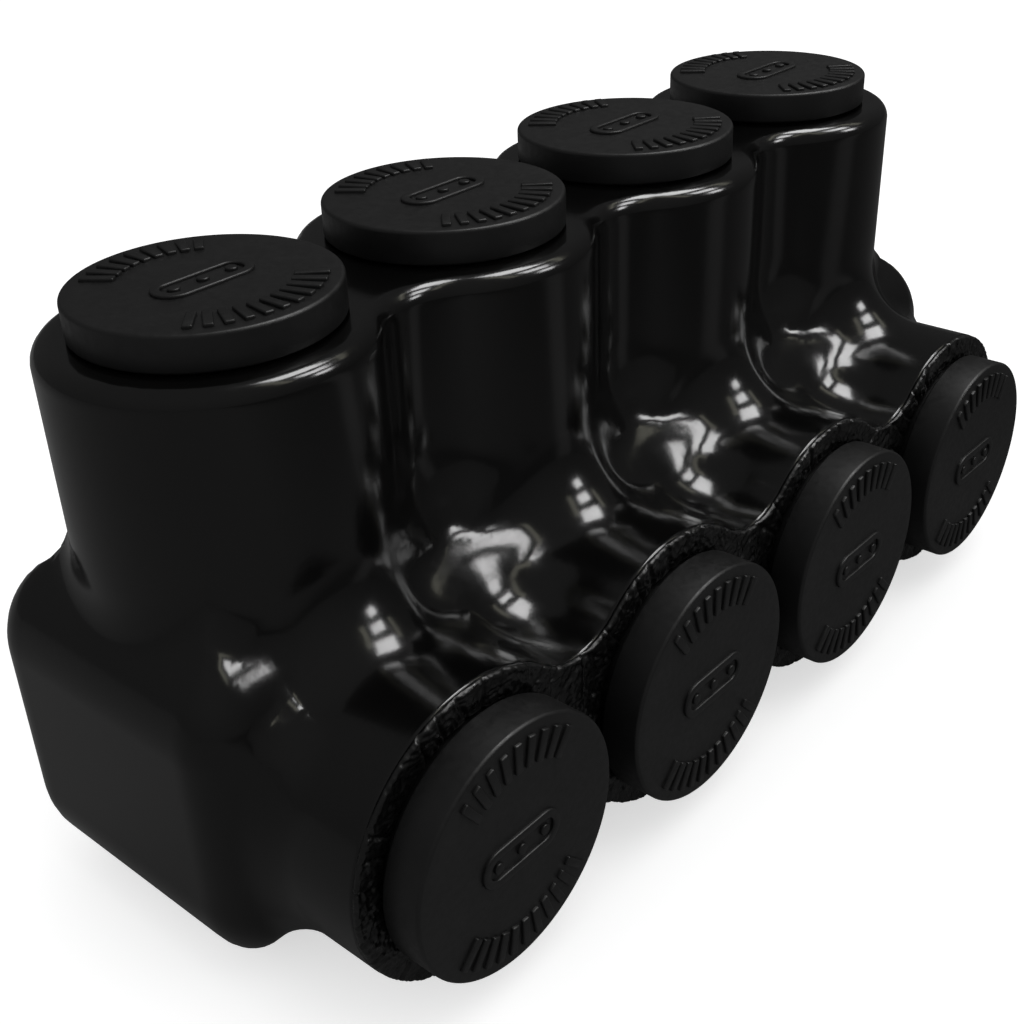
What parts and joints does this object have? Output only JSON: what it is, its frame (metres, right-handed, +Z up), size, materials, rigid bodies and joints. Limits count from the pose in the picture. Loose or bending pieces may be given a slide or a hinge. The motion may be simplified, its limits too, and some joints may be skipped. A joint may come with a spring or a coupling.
{
  "type": "insulated multi-tap connector",
  "caption": "Insulated tap connector: a drilled metal bar in a moulded black jacket, with a plugged cable tube in front and a plugged screw tower above each tap.",
  "frame": {"origin": "the middle of the bounding box, on the floor the flat bottom rests on", "axes": "+X along the row of taps, -Y out of the cable tubes, +Z up through the screw towers"},
  "size_m": [0.1214, 0.0496, 0.0593],
  "materials": {
    "jacket": "glossy black soft vinyl",
    "plug": "satin black plastic",
    "bar": "machined, tin plated",
    "screw": "machined"
  },
  "bodies": {
    "housing": {"insulation_jacket": "jacket", "connector_block": "bar"},
    "set_screw_1": {"set_screw_1": "screw"},
    "set_screw_2": {"set_screw_2": "screw"},
    "set_screw_3": {"set_screw_3": "screw"},
    "set_screw_4": {"set_screw_4": "screw"},
    "screw_plug_1": {"screw_plug_1": "plug"},
    "screw_plug_2": {"screw_plug_2": "plug"},
    "screw_plug_3": {"screw_plug_3": "plug"},
    "screw_plug_4": {"screw_plug_4": "plug"},
    "port_plug_1": {"port_plug_1": "plug"},
    "port_plug_2": {"port_plug_2": "plug"},
    "port_plug_3": {"port_plug_3": "plug"},
    "port_plug_4": {"port_plug_4": "plug"}
  },
  "joints": [
    {"name": "set_screw_1_travel", "type": "slide", "parent": "housing", "child": "set_screw_1", "axis": [0, 0, -1], "range_m": [0, 0.0125]},
    {"name": "set_screw_2_travel", "type": "slide", "parent": "housing", "child": "set_screw_2", "axis": [0, 0, -1], "range_m": [0, 0.0125]},
    {"name": "set_screw_3_travel", "type": "slide", "parent": "housing", "child": "set_screw_3", "axis": [0, 0, -1], "range_m": [0, 0.0125]},
    {"name": "set_screw_4_travel", "type": "slide", "parent": "housing", "child": "set_screw_4", "axis": [0, 0, -1], "range_m": [0, 0.0125]},
    {"name": "screw_plug_1_pull", "type": "slide", "parent": "housing", "child": "screw_plug_1", "axis": [0, 0, 1], "range_m": [0, 0.024]},
    {"name": "screw_plug_2_pull", "type": "slide", "parent": "housing", "child": "screw_plug_2", "axis": [0, 0, 1], "range_m": [0, 0.024]},
    {"name": "screw_plug_3_pull", "type": "slide", "parent": "housing", "child": "screw_plug_3", "axis": [0, 0, 1], "range_m": [0, 0.024]},
    {"name": "screw_plug_4_pull", "type": "slide", "parent": "housing", "child": "screw_plug_4", "axis": [0, 0, 1], "range_m": [0, 0.024]},
    {"name": "port_plug_1_pull", "type": "slide", "parent": "housing", "child": "port_plug_1", "axis": [0, -1, 0], "range_m": [0, 0.06]},
    {"name": "port_plug_2_pull", "type": "slide", "parent": "housing", "child": "port_plug_2", "axis": [0, -1, 0], "range_m": [0, 0.06]},
    {"name": "port_plug_3_pull", "type": "slide", "parent": "housing", "child": "port_plug_3", "axis": [0, -1, 0], "range_m": [0, 0.06]},
    {"name": "port_plug_4_pull", "type": "slide", "parent": "housing", "child": "port_plug_4", "axis": [0, -1, 0], "range_m": [0, 0.06]}
  ]
}
